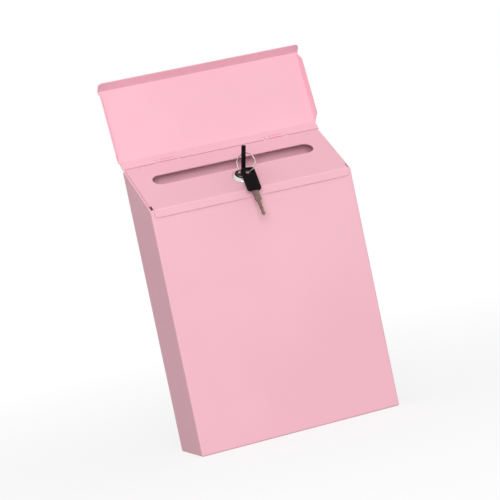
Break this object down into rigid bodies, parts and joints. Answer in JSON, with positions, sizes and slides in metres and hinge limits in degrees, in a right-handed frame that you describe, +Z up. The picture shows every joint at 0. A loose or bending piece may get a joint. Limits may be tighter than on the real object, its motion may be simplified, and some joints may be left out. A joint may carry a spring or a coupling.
{
  "type": "wall mailbox",
  "caption": "Folded sheet-steel wall mailbox with a sloped slotted door, a rain lid folded open, a cam lock with its key, and a spare key on a split ring.",
  "frame": {"origin": "middle of the rectangle of wall holes, on the wall plane at the back of the box", "axes": "+Z up, -Y out of the wall towards the user, +X to the right of someone facing the box"},
  "size_m": [0.222, 0.114, 0.3813],
  "materials": {
    "paint": "satin pink powder coat",
    "hinge_paint": "satin pink powder coat",
    "lock_chrome": "polished",
    "zinc": "zinc plated",
    "key_steel": "dull nickel plate",
    "key_plastic": "fine moulded grain",
    "ring_steel": "nickel plate"
  },
  "bodies": {
    "box": {"body_shell": "paint", "back_panel": "paint", "lock_strike": "zinc", "hinge_left_box_leaf": "hinge_paint", "hinge_right_box_leaf": "hinge_paint", "hinge_left_pin": "hinge_paint", "hinge_right_pin": "hinge_paint"},
    "door": {"inner_door": "paint", "hinge_left_door_leaf": "hinge_paint", "hinge_right_door_leaf": "hinge_paint", "lock_housing": "lock_chrome", "lock_nut": "zinc"},
    "lid": {"lid": "paint", "hinge_left_lid_leaf": "hinge_paint", "hinge_right_lid_leaf": "hinge_paint"},
    "plug": {"lock_plug": "lock_chrome", "lock_cam": "zinc", "cam_washer": "zinc", "cam_screw": "zinc", "key_blade": "key_steel", "key_head": "key_plastic"},
    "ring": {"split_ring": "ring_steel"},
    "spare_key": {"spare_key_blade": "key_steel", "spare_key_head": "key_plastic"}
  },
  "joints": [
    {"name": "door_hinge", "type": "hinge", "parent": "box", "child": "door", "pos_m": [0, -0.0014, 0.1424], "axis": [-1, 0, 0], "range_deg": [0, 85]},
    {"name": "lid_hinge", "type": "hinge", "parent": "door", "child": "lid", "pos_m": [0, -0.0014, 0.1424], "axis": [1, 0, 0], "range_deg": [0, 103]},
    {"name": "lock_turn", "type": "hinge", "parent": "door", "child": "plug", "pos_m": [0, -0.04993, 0.11064], "axis": [0, 0.5476, -0.8368], "range_deg": [-45, 45]},
    {"name": "ring_swing", "type": "hinge", "parent": "plug", "child": "ring", "pos_m": [-0.00099, -0.06768, 0.13345], "axis": [-0.8105, 0.5758, -0.1075], "range_deg": [0, 15]},
    {"name": "spare_key_swing", "type": "hinge", "parent": "ring", "child": "spare_key", "pos_m": [-0.00042, -0.07035, 0.11485], "axis": [-0.8105, 0.5758, -0.1075], "range_deg": [0, 12]}
  ]
}
